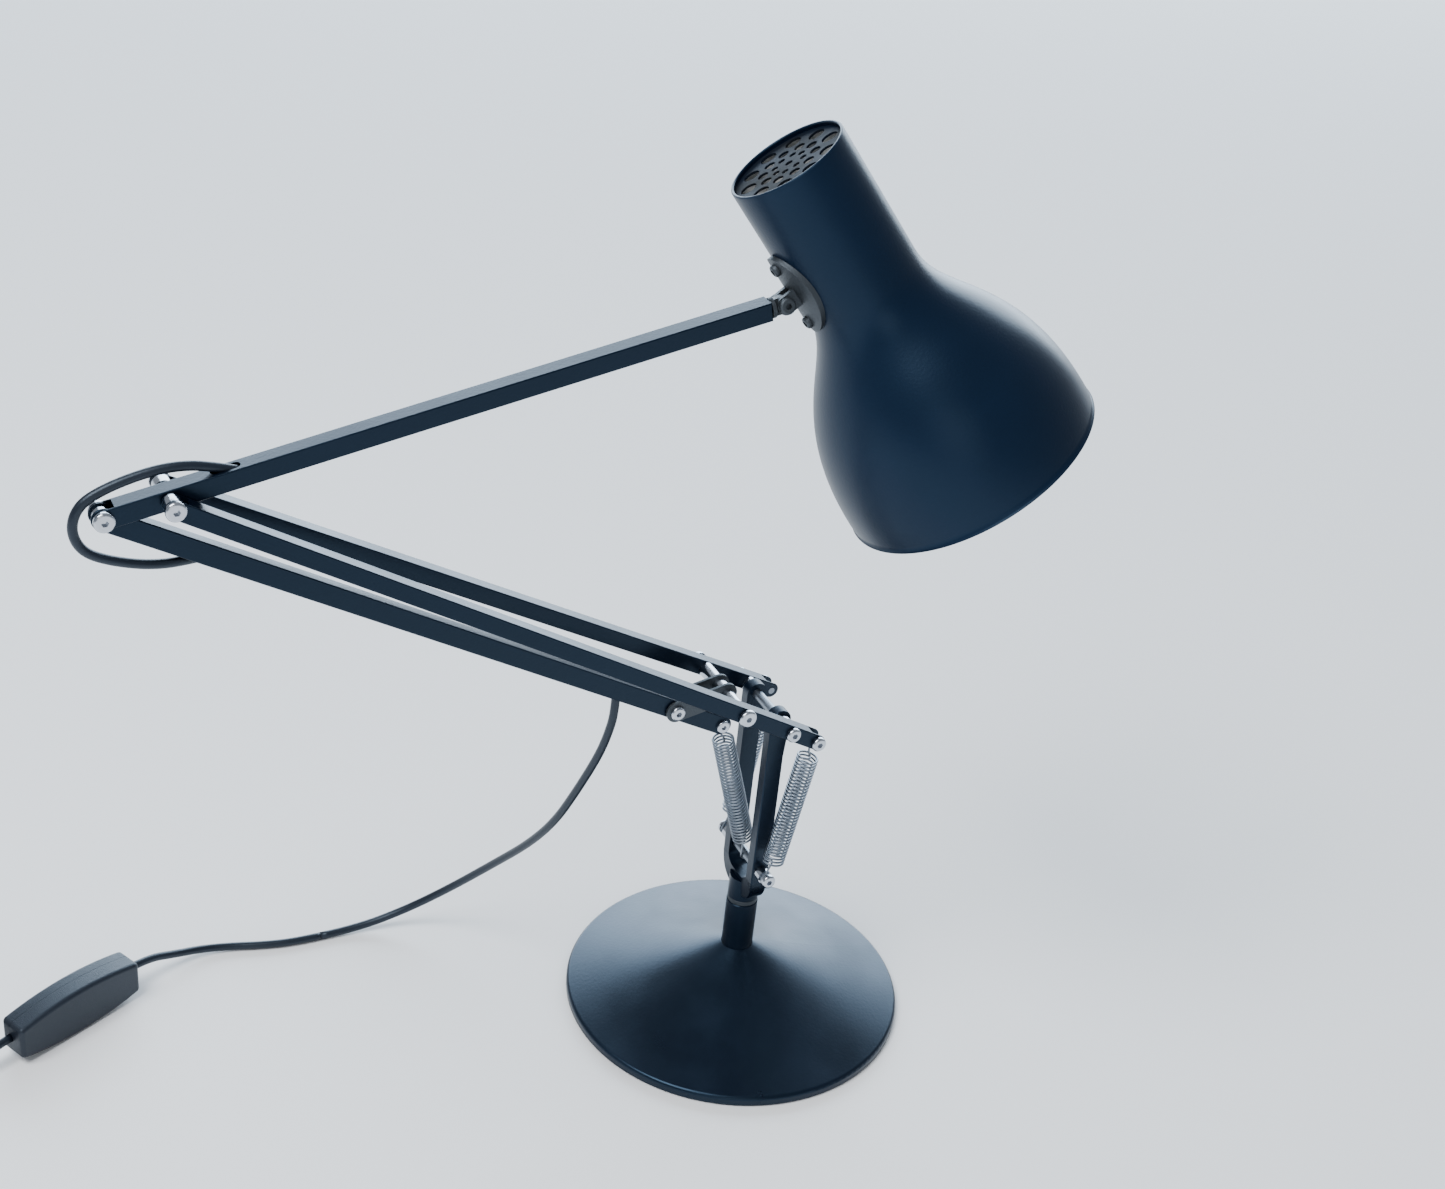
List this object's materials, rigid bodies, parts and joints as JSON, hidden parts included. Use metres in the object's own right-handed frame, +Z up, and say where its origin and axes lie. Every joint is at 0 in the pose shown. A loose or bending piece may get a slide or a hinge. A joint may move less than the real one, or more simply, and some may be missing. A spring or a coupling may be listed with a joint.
{
  "type": "swing arm desk lamp",
  "caption": "Spring-balanced swing arm desk lamp with a conical base, swivelling bracket, paired lower arms, single upper arm, bell shade, inline switch and mains lead.",
  "frame": {"origin": "centre of the base's underside, on the table", "axes": "+Z up along the spindle; the arms move in the XZ plane with the elbow toward -X and the shade toward +X; the near side bar is at -Y"},
  "size_m": [0.6802, 0.3416, 0.5609],
  "materials": {
    "navy_paint": "satin",
    "chrome": "polished",
    "cast_aluminium": "satin",
    "zinc_steel": "zinc plated",
    "cast_iron": "raw",
    "felt": "felt",
    "black_plastic": "fine satin",
    "white_nylon": "matt",
    "lampholder_plastic": "matt",
    "cord_sheath": "matt",
    "nickel_brass": "nickel plated",
    "bulb_glass": "frosted"
  },
  "bodies": {
    "base": {"base_cover": "navy_paint", "ballast_weight": "cast_iron", "base_pad": "felt", "spindle_tube": "navy_paint", "spindle_nut": "zinc_steel", "spindle_bush": "white_nylon", "ring_washer": "cast_aluminium", "lead_floor": "cord_sheath", "lead_to_coil": "cord_sheath", "lead_coil": "cord_sheath", "lead_to_plug": "cord_sheath", "switch_front": "black_plastic", "switch_rear": "black_plastic", "plug_body": "black_plastic", "plug_pins": "nickel_brass"},
    "bracket": {"bracket": "navy_paint", "swivel_stud": "zinc_steel", "spring_foot_pin": "zinc_steel", "spring_foot_screws": "chrome", "spring_foot_spacers": "chrome", "front_spring": "zinc_steel", "rear_springs": "zinc_steel", "lead_hanging": "cord_sheath"},
    "lower_arm": {"near_side_bar": "navy_paint", "far_side_bar": "navy_paint", "main_pivot_pin": "zinc_steel", "ear_spacers": "chrome", "link_pivot_pin": "zinc_steel", "link_sleeves": "chrome", "elbow_pin": "zinc_steel", "elbow_bushes": "chrome", "rear_spring_pins": "zinc_steel", "lower_arm_screws": "chrome"},
    "upper_arm": {"upper_arm_tube": "navy_paint", "elbow_bearing": "chrome", "tail_pin": "zinc_steel", "tail_screws": "chrome", "arm_end_plug": "black_plastic", "lead_in_upper_arm": "cord_sheath", "elbow_loop": "cord_sheath"},
    "link_plates": {"link_plates": "cast_aluminium", "link_spacer": "chrome", "link_rod_pin": "zinc_steel", "link_rod_screws": "chrome"},
    "lower_rod": {"lower_rod": "navy_paint", "tail_bush": "chrome", "front_spring_pin": "zinc_steel", "front_spring_caps": "chrome", "lead_in_lower_rod": "cord_sheath"},
    "shade_knuckle": {"shade_knuckle": "cast_aluminium"},
    "shade": {"shade_shell": "navy_paint", "vent_disc": "navy_paint", "shade_saddle": "cast_aluminium", "saddle_screws": "chrome", "shade_tilt_bolt": "chrome", "lampholder": "lampholder_plastic", "bulb_base": "nickel_brass", "bulb_globe": "bulb_glass"},
    "switch_rocker": {"switch_rocker": "black_plastic"}
  },
  "joints": [
    {"name": "bracket_swivel", "type": "hinge", "parent": "base", "child": "bracket", "pos_m": [0, 0, 0.0775], "axis": [0, 0, 1], "range_deg": [-170, 170], "deforming": ["lead_hanging"]},
    {"name": "lower_arm_pivot", "type": "hinge", "parent": "bracket", "child": "lower_arm", "pos_m": [0, 0, 0.217], "axis": [0, 1, 0], "range_deg": [-25, 45], "deforming": ["front_spring", "rear_springs", "lead_hanging"]},
    {"name": "elbow_fold", "type": "hinge", "parent": "lower_arm", "child": "upper_arm", "pos_m": [-0.34066, 0, 0.40273], "axis": [0, 1, 0], "range_deg": [-80, 12], "deforming": ["elbow_loop", "front_spring", "lead_hanging"]},
    {"name": "link_turn", "type": "hinge", "parent": "lower_arm", "child": "link_plates", "pos_m": [-0.03073, 0, 0.23375], "axis": [0, 1, 0], "range_deg": [-80, 12]},
    {"name": "rod_turn", "type": "hinge", "parent": "upper_arm", "child": "lower_rod", "pos_m": [-0.37149, 0, 0.39629], "axis": [0, 1, 0], "range_deg": [-12, 80]},
    {"name": "shade_swivel", "type": "hinge", "parent": "upper_arm", "child": "shade_knuckle", "pos_m": [-0.02869, 0, 0.46791], "axis": [0.9789, 0, 0.2045], "range_deg": [-80, 80]},
    {"name": "shade_tilt", "type": "hinge", "parent": "shade_knuckle", "child": "shade", "pos_m": [-0.02076, 0, 0.46956], "axis": [0.0481, 0.972, -0.2302], "range_deg": [-50, 40]},
    {"name": "rocker_tip", "type": "hinge", "parent": "base", "child": "switch_rocker", "pos_m": [-0.38938, 0.11342, 0.0156], "axis": [0, 0, 1], "range_deg": [-6, 6]}
  ],
  "couplings": [
    {"joint": "link_turn", "follows": "elbow_fold", "ratio": 1},
    {"joint": "rod_turn", "follows": "elbow_fold", "ratio": -1}
  ]
}
